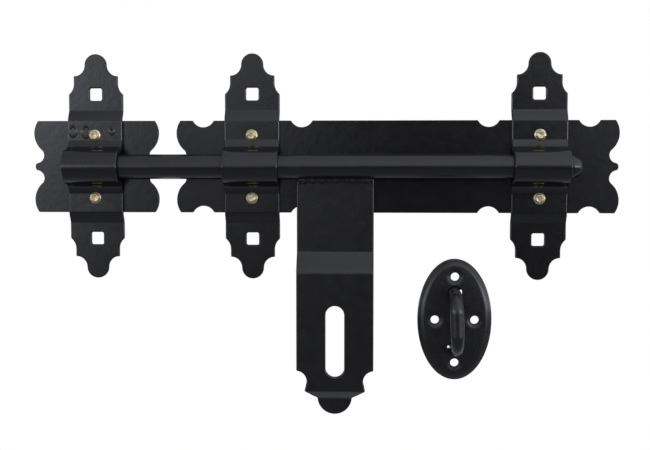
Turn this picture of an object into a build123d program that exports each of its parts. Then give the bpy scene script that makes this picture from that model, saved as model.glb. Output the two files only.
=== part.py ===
from build123d import *
import os
from math import asin, cos, degrees, radians, sin, sqrt

# Gate bolt: a round bolt rod that slides in three strap guides, with a hasp and a staple plate.
#
# Millimetres. X runs along the bolt, from the keeper on the post (left) to the gate (right).
# Z is up. The gate's face is the plane Y = 0, and everything stands out from it towards -Y.
# The origin is the middle of the base plate's back face, level with the bolt's axis.
# Below, "out" is a distance out from the gate's face, so a point at out = 5 has Y = -5.

os.makedirs("parts", exist_ok=True)

# Base plate and keeper plate
BASE_LENGTH = 286.6
KEEPER_LENGTH = 82.6
PLATE_HEIGHT = 60.0
PLATE_THICKNESS = 3.0
PLATE_GAP = 11.9

# Ornamental plate ends: two round lobes, two notches and a nub in the middle
LOBE_RADIUS = 14.5
LOBE_HEIGHT = 21.7
NOTCH_DEPTH = 6.3
NOTCH_TOP = 10.4
NOTCH_MIDDLE = 7.1
NUB_HALF_HEIGHT = 2.3
NUB_SHOULDER = 1.5
NUB_TIP = 0.5

# Scallops in the base plate's long edges, a pair beside each guide strap
SCALLOP_WIDTH = 14.0
SCALLOP_DEPTH = 4.3
SCALLOP_OFFSET = 32.3

# Bolt rod
ROD_DIAMETER = 16.0
ROD_TIP_ENGAGEMENT = 21.0
ROD_TAIL_PAST_STRAP = 7.1
ROD_TAIL_LENGTH = 6.0
ROD_TAIL_DROP = 2.0
ROD_NOSE_LENGTH = 1.2
ROD_NOSE_DROP = 1.2
ROD_TIP_CHAMFER = 1.5
ROD_CLEARANCE = 0.4
ROD_FIT = 0.4

# Straps
STRAP_WIDTH = 35.8
STRAP_HALF_LENGTH = 73.5
STRAP_THICKNESS = 3.0
LEFT_STRAP_INSET = 49.9
RIGHT_STRAP_INSET = 51.2
HUMP_ROOT_RADIUS = 6.5
STRAP_STEP_LENGTH = 5.2
STRAP_STEP_GAP = 0.5
STRAP_BEND_INNER = 1.5
STRAP_BEND_OUTER = 8.0

# Ornamental strap ends: a round tip, a hollow flare and a shoulder
TIP_RADIUS = 7.2
FLARE_RADIUS = 7.1
SHOULDER_HALF_WIDTH = 14.5
SHOULDER_LENGTH = 5.2
HIP_RADIUS = 8.4

# Fixings
SQUARE_HOLE = 8.1
SQUARE_CORNER = 1.2
SQUARE_HOLE_FROM_TIP = 26.3
RIVET_FROM_EDGE = 9.6
RIVET_SHANK = 5.0
RIVET_HEAD = 7.9
RIVET_DOME = 2.3

# Hasp, welded under the rod, between the two guide straps
HASP_FROM_STRAP = 11.4
HASP_WIDTH = 50.0
HASP_THICKNESS = 4.0
HASP_GAP = 0.4
HASP_STEP_TOP = 57.3
HASP_STEP_LENGTH = 11.0
HASP_STEP_OUT = 7.0
HASP_BEND_INNER = 5.0
HASP_BEND_OUTER = 8.5
WELD_LEG = 2.5
WELD_REACH = 0.4
WELD_BULGE = 0.5
WELD_INSET = 0.8
WELD_GAP = 0.05
SLOT_WIDTH = 12.1
SLOT_LENGTH = 46.5
SLOT_TOP = 89.85
HASP_BODY_BOTTOM = 132.3
WAIST_RADIUS = 7.0
WAIST_HALF_WIDTH = 18.3
WAIST_BOTTOM = 145.6
HORN_HALF_WIDTH = 19.7
THROAT_WIDTH = 2.4
THROAT_RISE = 0.4
LIP_STEP_TOP = 147.0
LIP_STEP_LENGTH = 2.8
LIP_STEP_OUT = 2.0
LIP_BEND_INNER = 1.2
LIP_BEND_OUTER = 4.0
LIP_RADIUS = 11.1
LIP_BOTTOM = 159.8

# Staple plate, pressed from sheet
STAPLE_FROM_HASP = 28.7
STAPLE_CENTRE_Z = -99.7
STAPLE_PLATE_WIDTH = 48.3
STAPLE_PLATE_HEIGHT = 79.4
STAPLE_PLATE_SHEET = 2.0
STAPLE_PLATE_RIM = 1.2
STAPLE_PLATE_RISE = 4.6
STAPLE_PLATE_BEVEL = 3.4
STAPLE_HOLLOW_RIM_SHARE = 0.5
STAPLE_HOLLOW_BEVEL_SHARE = 0.7
SCREW_HOLE = 5.5
SCREW_DISH = 12.0
SCREW_DISH_DEPTH = 1.6
SCREW_SPACING_X = 25.8
SCREW_SPACING_Z = 56.4

# Staple, flattened at its crown, a little askew in its two holes and welded at the back
STAPLE_BAR = 7.6
STAPLE_CROWN_WIDTH = 9.2
STAPLE_CROWN_DEPTH = 6.6
STAPLE_SPACING = 36.0
STAPLE_REACH = 29.0
STAPLE_BEND = 11.0
STAPLE_HOLE_PLAY = 0.9
STAPLE_SHIFT = 0.5
STAPLE_WELD_SPREAD = 2.2
STAPLE_WELD_THICKNESS = 1.3
STAPLE_WELD_OPENING_TOP = 38.0
STAPLE_WELD_OPENING_LOW = 22.0

# Worked out from the sizes above
ROD_RADIUS = ROD_DIAMETER / 2
AXIS_OUT = PLATE_THICKNESS + ROD_CLEARANCE + ROD_RADIUS
HUMP_INNER = ROD_RADIUS + ROD_FIT
HUMP_OUTER = HUMP_INNER + STRAP_THICKNESS
BASE_LEFT = -BASE_LENGTH / 2
KEEPER_CENTRE = BASE_LEFT - PLATE_GAP - KEEPER_LENGTH / 2
LEFT_STRAP_X = BASE_LEFT + LEFT_STRAP_INSET
RIGHT_STRAP_X = BASE_LENGTH / 2 - RIGHT_STRAP_INSET
HASP_CENTRE = LEFT_STRAP_X + STRAP_WIDTH / 2 + HASP_FROM_STRAP + HASP_WIDTH / 2
STAPLE_CENTRE_X = HASP_CENTRE + HASP_WIDTH / 2 + STAPLE_FROM_HASP + STAPLE_PLATE_WIDTH / 2
ROD_TAIL_X = RIGHT_STRAP_X + STRAP_WIDTH / 2 + ROD_TAIL_PAST_STRAP
ROD_TIP_X = KEEPER_CENTRE + STRAP_WIDTH / 2 - ROD_TIP_ENGAGEMENT
STRAP_TOP_OUT = PLATE_THICKNESS + STRAP_THICKNESS
HUMP_ROOT_OUT = STRAP_TOP_OUT + HUMP_ROOT_RADIUS
HUMP_ROOT_HEIGHT = sqrt((HUMP_OUTER + HUMP_ROOT_RADIUS) ** 2 - (HUMP_ROOT_OUT - AXIS_OUT) ** 2)
RIVET_HEIGHT = PLATE_HEIGHT / 2 - RIVET_FROM_EDGE
HASP_BACK = PLATE_THICKNESS + HASP_GAP
HASP_FRONT = HASP_BACK + HASP_THICKNESS
HASP_TOP = sqrt((ROD_RADIUS + WELD_GAP) ** 2 - (AXIS_OUT - HASP_FRONT) ** 2)
SQUARE_HOLE_HEIGHT = STRAP_HALF_LENGTH - SQUARE_HOLE_FROM_TIP

# Side plane: its first direction is Z, its second is out from the gate, and it faces +X
SIDE = Plane(origin=(0, 0, 0), x_dir=(0, 0, 1), z_dir=(1, 0, 0))


def front_solid(face, low_out, high_out):
    """A flat shape drawn in X and Z, made solid between two distances out from the gate."""
    placed = Plane(origin=(0, -low_out, 0), x_dir=(1, 0, 0), z_dir=(0, -1, 0)) * face
    return extrude(placed, amount=high_out - low_out, dir=(0, -1, 0))


def side_solid(face, centre_x, width):
    """A section drawn in Z and out, made solid across a width along X."""
    placed = SIDE.offset(centre_x - width / 2) * face
    return extrude(placed, amount=width, dir=(1, 0, 0))


def cylinder_out(radius, x, z, low_out, high_out):
    """A round bar or hole that points out from the gate."""
    return front_solid(Pos(x, z) * Circle(radius), low_out, high_out)


def miter(before, corner, after, thickness):
    """The corner of a bent sheet's front face, above one corner of its back face."""
    first = (Vector(corner) - Vector(before)).normalized()
    second = (Vector(after) - Vector(corner)).normalized()
    first_normal = Vector(-first.Y, first.X)
    second_normal = Vector(-second.Y, second.X)
    middle = (first_normal + second_normal).normalized()
    return Vector(corner) + middle * (thickness / middle.dot(first_normal))


def bent_sheet(back_line, inner_radius, outer_radius, thickness):
    """Section of a bent sheet. Its front face lies to the left of the back line."""
    back = [Vector(*point) for point in back_line]
    first = (back[1] - back[0]).normalized()
    front = [back[0] + Vector(-first.Y, first.X) * thickness]
    back_radii = []
    front_radii = []
    for before, corner, after in zip(back, back[1:], back[2:]):
        front.append(miter(before, corner, after, thickness))
        turn = (corner - before).cross(after - corner).Z
        back_radii.append(outer_radius if turn > 0 else inner_radius)
        front_radii.append(inner_radius if turn > 0 else outer_radius)
    last = (back[-1] - back[-2]).normalized()
    front.append(back[-1] + Vector(-last.Y, last.X) * thickness)
    back_edge = FilletPolyline(*back, radius=back_radii)
    front_edge = FilletPolyline(*front, radius=front_radii)
    ends = [Line(back[0], front[0]), Line(back[-1], front[-1])]
    return make_face(Curve() + [back_edge, front_edge] + ends)


def plate_half(half_length):
    """Right half of a plate's outline, with its ornamental end."""
    top = PLATE_HEIGHT / 2
    lobe_x = half_length - LOBE_RADIUS
    lobe_top = lobe_x + sqrt(LOBE_RADIUS**2 - (top - LOBE_HEIGHT) ** 2)
    lobe_low = lobe_x + sqrt(LOBE_RADIUS**2 - (LOBE_HEIGHT - NOTCH_TOP) ** 2)
    nub_x = half_length - NUB_SHOULDER
    notch_x = half_length - NOTCH_DEPTH
    upper = Curve() + [
        Line((0, top), (lobe_top, top)),
        ThreePointArc((lobe_top, top), (half_length, LOBE_HEIGHT), (lobe_low, NOTCH_TOP)),
        ThreePointArc((lobe_low, NOTCH_TOP), (notch_x, NOTCH_MIDDLE), (nub_x, NUB_HALF_HEIGHT)),
    ]
    nub = ThreePointArc((nub_x, NUB_HALF_HEIGHT), (half_length - NUB_TIP, 0), (nub_x, -NUB_HALF_HEIGHT))
    lower = mirror(upper, Plane.XZ)
    return make_face(upper + nub + lower + Line((0, top), (0, -top)))


def plate(half_length, centre_x):
    """A flat plate with two ornamental ends."""
    half = plate_half(half_length)
    face = half + mirror(half, Plane.YZ)
    return front_solid(Pos(centre_x, 0) * face, 0, PLATE_THICKNESS)


def scallops():
    """Cutters for the scallops in the base plate's long edges."""
    radius = (SCALLOP_WIDTH**2 / 4 + SCALLOP_DEPTH**2) / (2 * SCALLOP_DEPTH)
    height = PLATE_HEIGHT / 2 - SCALLOP_DEPTH + radius
    cutters = Part()
    for strap_x in (LEFT_STRAP_X, RIGHT_STRAP_X):
        for offset in (-SCALLOP_OFFSET, SCALLOP_OFFSET):
            for z in (-height, height):
                cutters += cylinder_out(radius, strap_x + offset, z, -1, PLATE_THICKNESS + 1)
    return cutters


def rivet(centre_x, z):
    """A rivet with a domed head in front and a shank closed flush at the back."""
    dome_radius = (RIVET_HEAD**2 / 4 + RIVET_DOME**2) / (2 * RIVET_DOME)
    middle_angle = asin(RIVET_HEAD / 2 / dome_radius) / 2
    dome_centre = STRAP_TOP_OUT + RIVET_DOME - dome_radius
    tip = (0, STRAP_TOP_OUT + RIVET_DOME)
    rim = (RIVET_HEAD / 2, STRAP_TOP_OUT)
    middle = (dome_radius * sin(middle_angle), dome_centre + dome_radius * cos(middle_angle))
    profile = Curve() + [
        Polyline((0, 0), (RIVET_SHANK / 2, 0), (RIVET_SHANK / 2, STRAP_TOP_OUT), rim),
        ThreePointArc(rim, middle, tip),
        Line(tip, (0, 0)),
    ]
    turned = revolve(make_face(profile), Axis.Y)
    return Pos(centre_x, 0, z) * Rot(180, 0, 0) * turned


def rivets(centre_x):
    """The two rivets of one strap."""
    return rivet(centre_x, RIVET_HEIGHT) + rivet(centre_x, -RIVET_HEIGHT)


def strap_outline_half():
    """Upper right quarter of a strap's outline, drawn about the strap's centre."""
    tip_z = STRAP_HALF_LENGTH - TIP_RADIUS
    shoulder_z = tip_z - FLARE_RADIUS
    hip_z = shoulder_z - SHOULDER_LENGTH
    half_width = STRAP_WIDTH / 2
    flare_x = SHOULDER_HALF_WIDTH - (FLARE_RADIUS - (SHOULDER_HALF_WIDTH - TIP_RADIUS))
    diagonal = sqrt(0.5)
    flare_end = (TIP_RADIUS + FLARE_RADIUS, shoulder_z)
    flare_middle = (TIP_RADIUS + FLARE_RADIUS * (1 - diagonal), tip_z - FLARE_RADIUS * diagonal)
    hip_drop = sqrt(HIP_RADIUS**2 - (HIP_RADIUS - (half_width - SHOULDER_HALF_WIDTH)) ** 2)
    half_angle = asin(hip_drop / HIP_RADIUS) / 2
    hip_middle = (
        SHOULDER_HALF_WIDTH + HIP_RADIUS * (1 - cos(half_angle)),
        hip_z - HIP_RADIUS * sin(half_angle),
    )
    tip_middle = (TIP_RADIUS * diagonal, tip_z + TIP_RADIUS * diagonal)
    return make_face(
        Curve()
        + [
            Line((0, 0), (0, STRAP_HALF_LENGTH)),
            ThreePointArc((0, STRAP_HALF_LENGTH), tip_middle, (TIP_RADIUS, tip_z)),
            ThreePointArc((TIP_RADIUS, tip_z), flare_middle, flare_end),
            Polyline(flare_end, (SHOULDER_HALF_WIDTH, shoulder_z), (SHOULDER_HALF_WIDTH, hip_z)),
            ThreePointArc((SHOULDER_HALF_WIDTH, hip_z), hip_middle, (half_width, hip_z - hip_drop)),
            Polyline((half_width, hip_z - hip_drop), (half_width, 0), (0, 0)),
        ]
    )


def strap_outline():
    """The whole outline of a strap, seen from the front."""
    quarter = strap_outline_half()
    upper = quarter + mirror(quarter, Plane.YZ)
    return upper + mirror(upper, Plane.XZ)


def hump_section():
    """Section of the round hump that holds the rod, with its hollow roots."""
    centre = Vector(HUMP_ROOT_HEIGHT, HUMP_ROOT_OUT)
    axis = Vector(0, AXIS_OUT)
    towards_root = (centre - axis).normalized()
    middle = (Vector(0, -1) - towards_root).normalized()
    back_radius = HUMP_ROOT_RADIUS + STRAP_THICKNESS
    outer_top = axis + towards_root * HUMP_OUTER
    inner_top = axis + towards_root * HUMP_INNER
    outer_foot = (HUMP_ROOT_HEIGHT, STRAP_TOP_OUT)
    inner_foot = (HUMP_ROOT_HEIGHT, PLATE_THICKNESS)
    right = Curve() + [
        Line(inner_foot, outer_foot),
        ThreePointArc(outer_foot, centre + middle * HUMP_ROOT_RADIUS, outer_top),
        ThreePointArc(inner_foot, centre + middle * back_radius, inner_top),
    ]
    arches = Curve() + [
        ThreePointArc(outer_top, (0, AXIS_OUT + HUMP_OUTER), (-outer_top.X, outer_top.Y)),
        ThreePointArc(inner_top, (0, AXIS_OUT + HUMP_INNER), (-inner_top.X, inner_top.Y)),
    ]
    return make_face(right + arches + mirror(right, Plane.YZ))


def strap(centre_x):
    """A strap: flat ends on the gate, stepped up onto its plate, and humped over the rod."""
    root = (HUMP_ROOT_HEIGHT, PLATE_THICKNESS)
    step_z = PLATE_HEIGHT / 2 + STRAP_STEP_GAP
    foot_z = step_z + STRAP_STEP_LENGTH
    leg_line = [root, (step_z, PLATE_THICKNESS), (foot_z, 0), (STRAP_HALF_LENGTH, 0)]
    leg = bent_sheet(leg_line, STRAP_BEND_INNER, STRAP_BEND_OUTER, STRAP_THICKNESS)
    section = hump_section() + leg + mirror(leg, Plane.YZ)
    band = side_solid(section, centre_x, STRAP_WIDTH)
    shape = front_solid(Pos(centre_x, 0) * strap_outline(), -1, AXIS_OUT + HUMP_OUTER + 1)
    body = band & shape
    hole = RectangleRounded(SQUARE_HOLE, SQUARE_HOLE, SQUARE_CORNER)
    for z in (-SQUARE_HOLE_HEIGHT, SQUARE_HOLE_HEIGHT):
        body -= front_solid(Pos(centre_x, z) * hole, -1, STRAP_THICKNESS + 1)
    return body - rivets(centre_x)


def bolt_rod():
    """The round bolt, with a small chamfer in the keeper and a rounded-off tail."""
    chamfer_x = ROD_TIP_X + ROD_TIP_CHAMFER
    shoulder_x = ROD_TAIL_X - ROD_TAIL_LENGTH
    nose_x = ROD_TAIL_X - ROD_NOSE_LENGTH
    nose_radius = ROD_RADIUS - ROD_TAIL_DROP
    profile = Curve() + [
        Polyline((ROD_TIP_X, 0), (ROD_TIP_X, ROD_RADIUS - ROD_TIP_CHAMFER), (chamfer_x, ROD_RADIUS)),
        Polyline((chamfer_x, ROD_RADIUS), (shoulder_x, ROD_RADIUS), (nose_x, nose_radius)),
        Polyline((nose_x, nose_radius), (ROD_TAIL_X, nose_radius - ROD_NOSE_DROP), (ROD_TAIL_X, 0)),
        Line((ROD_TAIL_X, 0), (ROD_TIP_X, 0)),
    ]
    return Pos(0, -AXIS_OUT, 0) * revolve(make_face(profile), Axis.X)


def hasp_outline():
    """The hasp seen from the front: straight sides, a waist and a round lip."""
    half_width = HASP_WIDTH / 2
    waist_z = -HASP_BODY_BOTTOM - WAIST_RADIUS
    void_x = WAIST_HALF_WIDTH + WAIST_RADIUS
    start_angle = asin(max(-1.0, min(1.0, (half_width - void_x) / WAIST_RADIUS)))
    start = (half_width, waist_z + WAIST_RADIUS * cos(start_angle))
    middle_angle = (start_angle - radians(90)) / 2
    middle = (void_x + WAIST_RADIUS * sin(middle_angle), waist_z + WAIST_RADIUS * cos(middle_angle))
    horn = (HORN_HALF_WIDTH, -WAIST_BOTTOM)
    lip_centre = -LIP_BOTTOM + LIP_RADIUS
    lip_angle = asin(THROAT_RISE / LIP_RADIUS)
    middle_turn = (lip_angle + radians(90)) / 2
    lip_side = (LIP_RADIUS * cos(lip_angle), lip_centre - LIP_RADIUS * sin(lip_angle))
    lip_middle = (LIP_RADIUS * cos(middle_turn), lip_centre - LIP_RADIUS * sin(middle_turn))
    throat = (LIP_RADIUS + THROAT_WIDTH, lip_centre + THROAT_RISE)
    right = Curve() + [
        Polyline((0, 0), (half_width, 0), start),
        ThreePointArc(start, middle, (WAIST_HALF_WIDTH, waist_z)),
        Polyline((WAIST_HALF_WIDTH, waist_z), horn, throat, lip_side),
        ThreePointArc(lip_side, lip_middle, (0, -LIP_BOTTOM)),
        Line((0, -LIP_BOTTOM), (0, 0)),
    ]
    half = make_face(right)
    return half + mirror(half, Plane.YZ)


def hasp():
    """The hasp plate: stepped out twice, slotted for the staple, with its top edge under the rod."""
    step_bottom = HASP_STEP_TOP + HASP_STEP_LENGTH
    lip_bottom = LIP_STEP_TOP + LIP_STEP_LENGTH
    low = HASP_BACK + HASP_STEP_OUT
    lip = low + LIP_STEP_OUT
    joint_z = -LIP_STEP_TOP + HASP_THICKNESS
    upper = bent_sheet(
        [(joint_z, low), (-step_bottom, low), (-HASP_STEP_TOP, HASP_BACK), (-HASP_TOP, HASP_BACK)],
        HASP_BEND_INNER,
        HASP_BEND_OUTER,
        HASP_THICKNESS,
    )
    lower = bent_sheet(
        [(-LIP_BOTTOM, lip), (-lip_bottom, lip), (-LIP_STEP_TOP, low), (joint_z, low)],
        LIP_BEND_INNER,
        LIP_BEND_OUTER,
        HASP_THICKNESS,
    )
    band = side_solid(upper + lower, HASP_CENTRE, HASP_WIDTH)
    body = band & front_solid(Pos(HASP_CENTRE, 0) * hasp_outline(), -1, lip + HASP_THICKNESS + 1)
    slot = Rot(0, 0, 90) * SlotOverall(SLOT_LENGTH, SLOT_WIDTH)
    slot_z = -SLOT_TOP - SLOT_LENGTH / 2
    return body - front_solid(Pos(HASP_CENTRE, slot_z) * slot, 0, lip + HASP_THICKNESS + 1)


def hasp_weld():
    """The weld bead in the corner between the rod's underside and the hasp's front face."""
    contact = ROD_RADIUS + WELD_GAP
    top = (-HASP_TOP, HASP_FRONT)
    reach_out = AXIS_OUT - WELD_REACH
    toe = (-sqrt(contact**2 - WELD_REACH**2), reach_out)
    middle_out = (HASP_FRONT + reach_out) / 2
    rod_middle = (-sqrt(contact**2 - (AXIS_OUT - middle_out) ** 2), middle_out)
    foot = (-HASP_TOP - WELD_LEG, HASP_FRONT)
    bulge = WELD_BULGE * sqrt(0.5)
    face_middle = ((toe[0] + foot[0]) / 2 - bulge, middle_out + bulge)
    section = make_face(
        Curve()
        + [
            ThreePointArc(top, rod_middle, toe),
            ThreePointArc(toe, face_middle, foot),
            Line(foot, top),
        ]
    )
    return side_solid(section, HASP_CENTRE, HASP_WIDTH - 2 * WELD_INSET)


def dome_solid(width, height, low_out, rim, rise, bevel):
    """An oval block with an upright rim and a bevel all round."""
    foot = front_solid(Ellipse(width / 2, height / 2), low_out, rim)
    base_plane = Plane(origin=(0, -rim, 0), x_dir=(1, 0, 0), z_dir=(0, -1, 0))
    top_plane = base_plane.offset(rise - rim)
    lower = base_plane * Ellipse(width / 2, height / 2)
    upper = top_plane * Ellipse(width / 2 - bevel, height / 2 - bevel)
    return foot + loft([lower, upper])


def screw_places():
    """The four screw holes of the staple plate, about its centre."""
    return [
        (-SCREW_SPACING_X / 2, 0),
        (SCREW_SPACING_X / 2, 0),
        (0, -SCREW_SPACING_Z / 2),
        (0, SCREW_SPACING_Z / 2),
    ]


def cone_out(low_radius, high_radius, x, z, low_out, high_out):
    """A cone about a line that points out from the gate."""
    low = Plane(origin=(x, -low_out, z), x_dir=(1, 0, 0), z_dir=(0, -1, 0)) * Circle(low_radius)
    high = Plane(origin=(x, -high_out, z), x_dir=(1, 0, 0), z_dir=(0, -1, 0)) * Circle(high_radius)
    return loft([low, high])


def dish_back(x, z):
    """The back of one dished screw hole, pressed down towards the gate."""
    under = STAPLE_PLATE_RISE - STAPLE_PLATE_SHEET
    low_radius = SCREW_HOLE / 2 + STAPLE_PLATE_SHEET
    high_radius = SCREW_DISH / 2 + STAPLE_PLATE_SHEET / 2
    return cone_out(low_radius, high_radius, x, z, under - SCREW_DISH_DEPTH, under)


def staple_plate():
    """The oval staple plate: a hollow pressing with four dished screw holes."""
    sheet = STAPLE_PLATE_SHEET
    rise = STAPLE_PLATE_RISE
    under = rise - sheet
    rim = STAPLE_PLATE_RIM
    body = dome_solid(STAPLE_PLATE_WIDTH, STAPLE_PLATE_HEIGHT, 0, rim, rise, STAPLE_PLATE_BEVEL)
    body -= dome_solid(
        STAPLE_PLATE_WIDTH - 2 * sheet,
        STAPLE_PLATE_HEIGHT - 2 * sheet,
        -1,
        rim * STAPLE_HOLLOW_RIM_SHARE,
        under,
        STAPLE_PLATE_BEVEL * STAPLE_HOLLOW_BEVEL_SHARE,
    )
    for x, z in screw_places():
        body += dish_back(x, z)
    for x, z in screw_places():
        body -= cone_out(SCREW_HOLE / 2, SCREW_DISH / 2, x, z, rise - SCREW_DISH_DEPTH, rise)
        body -= cylinder_out(SCREW_HOLE / 2, x, z, -1, rise + 1)
    for z in (-STAPLE_SPACING / 2, STAPLE_SPACING / 2):
        body -= cylinder_out(STAPLE_BAR / 2 + STAPLE_HOLE_PLAY, 0, z, -1, rise + 1)
    return Pos(STAPLE_CENTRE_X, 0, STAPLE_CENTRE_Z) * body


def staple_back():
    """How far out the staple's ends and their welds start, behind the pressed plate."""
    return STAPLE_PLATE_RISE - STAPLE_PLATE_SHEET - STAPLE_WELD_THICKNESS


def staple():
    """The staple: a round bar bent to a loop, its two legs through the plate."""
    half = STAPLE_SPACING / 2
    top = STAPLE_REACH - STAPLE_BAR / 2
    start = staple_back()
    leg_top = top - STAPLE_BEND
    leg = Plane(origin=(0, -start, -half), x_dir=(1, 0, 0), z_dir=(0, -1, 0))
    crown = Plane(origin=(0, -top, 0), x_dir=(1, 0, 0), z_dir=(0, 0, 1))
    round_bar = Circle(STAPLE_BAR / 2)
    flat_bar = Ellipse(STAPLE_CROWN_WIDTH / 2, STAPLE_CROWN_DEPTH / 2)
    lower_leg = extrude(leg * round_bar, amount=leg_top - start)
    arc_middle = (STAPLE_BEND * (1 - sqrt(0.5)) - half, leg_top + STAPLE_BEND * sqrt(0.5))
    bend = ThreePointArc((-half, leg_top), arc_middle, (STAPLE_BEND - half, top))
    path = SIDE * (Curve() + [bend, Line((STAPLE_BEND - half, top), (0, top))])
    bent = sweep([leg.offset(leg_top - start) * round_bar, crown * flat_bar], path=path, multisection=True)
    lower_half = lower_leg + bent
    turn = degrees(asin(STAPLE_SHIFT / half))
    loop = lower_half + mirror(lower_half, Plane.XY)
    return Pos(STAPLE_CENTRE_X, 0, STAPLE_CENTRE_Z) * Rot(0, -turn, 0) * loop


def staple_weld(side, opening):
    """The weld round one leg behind the plate. It leaves the loose side of the hole open."""
    low = staple_back()
    high = STAPLE_PLATE_RISE - STAPLE_PLATE_SHEET
    leg_x = -side * STAPLE_SHIFT
    leg_z = side * sqrt(STAPLE_SPACING**2 / 4 - STAPLE_SHIFT**2)
    outer = STAPLE_BAR / 2 + STAPLE_HOLE_PLAY + STAPLE_WELD_SPREAD
    ring = cylinder_out(outer, leg_x, leg_z, low, high)
    ring -= cylinder_out(STAPLE_BAR / 2, leg_x, leg_z, low - 1, high + 1)
    reach = 2 * outer
    half_opening = radians(opening / 2)
    wedge = make_face(
        Polyline(
            (0, 0),
            (side * reach * cos(half_opening), reach * sin(half_opening)),
            (side * reach * cos(half_opening), -reach * sin(half_opening)),
            (0, 0),
        )
    )
    ring -= front_solid(Pos(leg_x, leg_z) * wedge, low - 1, high + 1)
    ring -= dish_back(0, side * SCREW_SPACING_Z / 2)
    return Pos(STAPLE_CENTRE_X, 0, STAPLE_CENTRE_Z) * ring


strap_places = {
    "keeper_strap": KEEPER_CENTRE,
    "guide_strap_left": LEFT_STRAP_X,
    "guide_strap_right": RIGHT_STRAP_X,
}

nodes = {
    "base_plate": plate(BASE_LENGTH / 2, 0) - scallops(),
    "keeper_plate": plate(KEEPER_LENGTH / 2, KEEPER_CENTRE) - rivets(KEEPER_CENTRE),
    "bolt_rod": bolt_rod(),
    "hasp": hasp(),
    "hasp_weld": hasp_weld(),
    "staple_plate": staple_plate(),
    "staple": staple(),
    "staple_weld_upper": staple_weld(1, STAPLE_WELD_OPENING_TOP),
    "staple_weld_lower": staple_weld(-1, STAPLE_WELD_OPENING_LOW),
}
for strap_x in (LEFT_STRAP_X, RIGHT_STRAP_X):
    nodes["base_plate"] -= rivets(strap_x)
for name, strap_x in strap_places.items():
    nodes[name] = strap(strap_x)
    stem = name.replace("strap", "rivet")
    nodes[stem + "_upper"] = rivet(strap_x, RIVET_HEIGHT)
    nodes[stem + "_lower"] = rivet(strap_x, -RIVET_HEIGHT)

for name, shape in nodes.items():
    export_step(shape, f"parts/{name}.step")
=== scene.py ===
import math

import bmesh
import bpy
from mathutils import Matrix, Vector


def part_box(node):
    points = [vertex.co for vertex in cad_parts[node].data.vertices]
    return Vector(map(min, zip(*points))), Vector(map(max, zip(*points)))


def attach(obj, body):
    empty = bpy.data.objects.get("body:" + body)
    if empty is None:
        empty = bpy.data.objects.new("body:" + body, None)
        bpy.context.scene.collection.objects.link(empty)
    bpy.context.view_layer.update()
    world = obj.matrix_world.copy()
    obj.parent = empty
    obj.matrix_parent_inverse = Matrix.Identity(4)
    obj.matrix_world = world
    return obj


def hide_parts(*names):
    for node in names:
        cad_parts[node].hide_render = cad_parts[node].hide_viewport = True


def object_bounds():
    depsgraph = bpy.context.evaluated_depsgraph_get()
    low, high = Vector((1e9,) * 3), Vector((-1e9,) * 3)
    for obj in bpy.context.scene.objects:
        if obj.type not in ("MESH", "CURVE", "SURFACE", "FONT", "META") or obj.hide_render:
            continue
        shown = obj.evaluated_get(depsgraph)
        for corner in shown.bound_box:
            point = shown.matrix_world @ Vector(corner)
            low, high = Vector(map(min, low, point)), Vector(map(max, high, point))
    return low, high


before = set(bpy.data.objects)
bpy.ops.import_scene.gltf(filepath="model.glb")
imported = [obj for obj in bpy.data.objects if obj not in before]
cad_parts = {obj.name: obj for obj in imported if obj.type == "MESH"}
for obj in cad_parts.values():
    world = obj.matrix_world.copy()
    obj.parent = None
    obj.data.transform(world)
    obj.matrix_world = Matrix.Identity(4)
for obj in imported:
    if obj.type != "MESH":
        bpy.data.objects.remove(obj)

CAD_BOX = [list(corner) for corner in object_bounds()]

bl_info = {
    "name": "Gate bolt",
    "version": (1, 0, 0),
    "blender": (4, 5, 0),
    "location": "3D View > Sidebar > Gate Bolt",
    "description": "Black painted gate bolt with its hasp, rivets and staple plate",
    "category": "Object",
}

MM = 0.001

# Rounded edges: which edges count as sharp, and how round the plates and the bars are.
SHARP_ANGLE = math.radians(28)
FLAT_ANGLE = math.radians(0.3)
EDGE_SEGMENTS = 3
PLATE_EDGE_SHARE = 0.5
BAR_EDGE = 0.45 * MM
STAPLE_EDGE = 0.5 * BAR_EDGE
SLIVER = 0.002 * MM

# The coat of paint: noise scales per metre, heights of its bumps, and how far its patches differ.
PATCH_SCALE = 150.0
PATCH_SHARE = 0.15
GRAIN_SCALE = 750.0
GRAIN_HEIGHT = 0.03 * MM
WAVE_SCALE = 240.0
WAVE_HEIGHT = 0.1 * MM

# How much duller or more uneven than the plain coat a piece's paint is.
ROD_DULLNESS = 1.3
HASP_DULLNESS = 1.5
HASP_UNEVENNESS = 1.2
WELD_DULLNESS = 2.6
WELD_UNEVENNESS = 1.6
STAPLE_DULLNESS = 1.6

# Press marks on the keeper strap's upper land: across from its middle, up, radius and line width.
PRESS_MARKS = (
    (-14.4 * MM, 23.3 * MM, 2.2 * MM, 0.9 * MM),
    (-5.7 * MM, 23.0 * MM, 2.5 * MM, 0.9 * MM),
    (11.2 * MM, 23.3 * MM, 1.3 * MM, 0.8 * MM),
)
MARK_SQUEEZE = 0.66
MARK_HEIGHT = 0.3 * MM

# The weld under the rod: where its line runs in the weld's box, and its ripples.
WELD_INSET = 1.6 * MM
WELD_BACK = 1.4 * MM
WELD_UP = 1.5 * MM
WELD_RIPPLES = {
    "Pitch": 1.5 * MM,
    "Width": 2.4 * MM,
    "Height": 1.7 * MM,
    "Wander": 0.5 * MM,
    "Lean": math.radians(15),
    "Seed": 5,
}

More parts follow.
